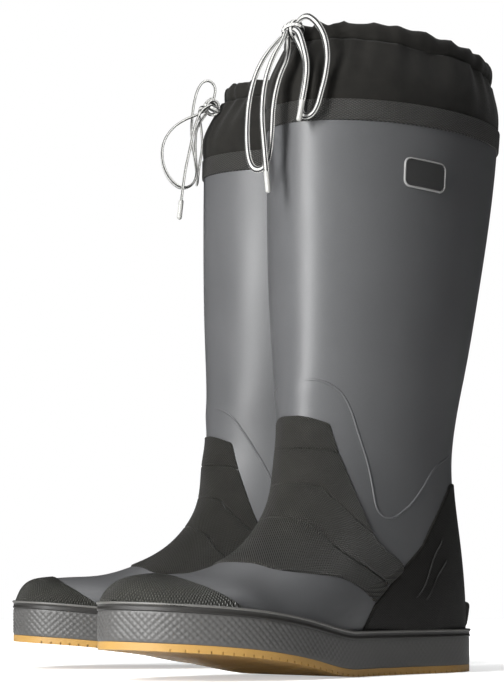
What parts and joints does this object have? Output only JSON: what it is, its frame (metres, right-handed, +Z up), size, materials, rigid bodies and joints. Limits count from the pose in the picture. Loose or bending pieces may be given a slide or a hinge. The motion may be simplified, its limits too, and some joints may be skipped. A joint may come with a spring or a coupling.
{
  "type": "rubber wellington boot pair",
  "caption": "Pair of knee-high rubber deck boots with knurled instep, toe and heel guards, gum soles, and a gathered fabric collar tied with a striped lace.",
  "frame": {"origin": "on the floor under the middle of the box around the pair", "axes": "+Z up, toes towards -Y, the left boot on the +X side"},
  "size_m": [0.3258, 0.3757, 0.4246],
  "materials": {
    "gum_rubber": "amber gum rubber, satin",
    "foxing_rubber": "dark grey rubber band with a fine beaded pattern",
    "black_rubber": "near black rubber, satin",
    "knurled_rubber": "near black rubber with a fine diamond knurl",
    "grey_rubber": "mid grey natural rubber, smooth satin",
    "plaque_rubber": "raised plain plaque with a pale rim",
    "sole_filler": "sponge rubber filler",
    "insole_board": "pressed fibre board",
    "footbed_foam": "foam footbed with a knitted top",
    "lining_fabric": "knitted jersey over neoprene",
    "nylon": "fine woven nylon, matt black",
    "lace": "white flat braided lace with two thin dark stripes",
    "lace_tip": "clear grey plastic sleeve"
  },
  "bodies": {
    "left_boot": {"badge_left": "plaque_rubber", "bow_knot_left": "lace", "bow_loop_a_left": "lace", "bow_loop_b_left": "lace", "bow_tail_a_left": "lace", "bow_tail_b_left": "lace", "collar_hem_left": "nylon", "collar_left": "nylon", "drawcord_left": "lace", "foxing_left": "foxing_rubber", "foxing_piping_left": "black_rubber", "heel_guard_left": "black_rubber", "insole_board_left": "insole_board", "instep_guard_lower_left": "knurled_rubber", "instep_guard_middle_left": "knurled_rubber", "instep_guard_top_left": "knurled_rubber", "instep_guard_upper_left": "knurled_rubber", "kick_tab_left": "black_rubber", "lace_tip_a_left": "lace_tip", "lace_tip_b_left": "lace_tip", "leg_left": "grey_rubber", "lining_left": "lining_fabric", "midsole_left": "sole_filler", "outsole_left": "gum_rubber", "toe_cap_left": "knurled_rubber", "top_trim_left": "knurled_rubber", "vamp_left": "grey_rubber"},
    "right_boot": {"badge_right": "plaque_rubber", "bow_knot_right": "lace", "bow_loop_a_right": "lace", "bow_loop_b_right": "lace", "bow_tail_a_right": "lace", "bow_tail_b_right": "lace", "collar_hem_right": "nylon", "collar_right": "nylon", "drawcord_right": "lace", "foxing_piping_right": "black_rubber", "foxing_right": "foxing_rubber", "heel_guard_right": "black_rubber", "insole_board_right": "insole_board", "instep_guard_lower_right": "knurled_rubber", "instep_guard_middle_right": "knurled_rubber", "instep_guard_top_right": "knurled_rubber", "instep_guard_upper_right": "knurled_rubber", "kick_tab_right": "black_rubber", "lace_tip_a_right": "lace_tip", "lace_tip_b_right": "lace_tip", "leg_right": "grey_rubber", "lining_right": "lining_fabric", "midsole_right": "sole_filler", "outsole_right": "gum_rubber", "toe_cap_right": "knurled_rubber", "top_trim_right": "knurled_rubber", "vamp_right": "grey_rubber"},
    "left_footbed": {"footbed_left": "footbed_foam"},
    "right_footbed": {"footbed_right": "footbed_foam"}
  },
  "joints": [
    {"name": "boots_apart", "type": "slide", "parent": "left_boot", "child": "right_boot", "axis": [-1, 0, 0], "range_m": [0, 0.15]},
    {"name": "left_footbed_lift", "type": "slide", "parent": "left_boot", "child": "left_footbed", "axis": [0, 0, 1], "range_m": [0, 0.004]},
    {"name": "right_footbed_lift", "type": "slide", "parent": "right_boot", "child": "right_footbed", "axis": [0, 0, 1], "range_m": [0, 0.004]}
  ]
}
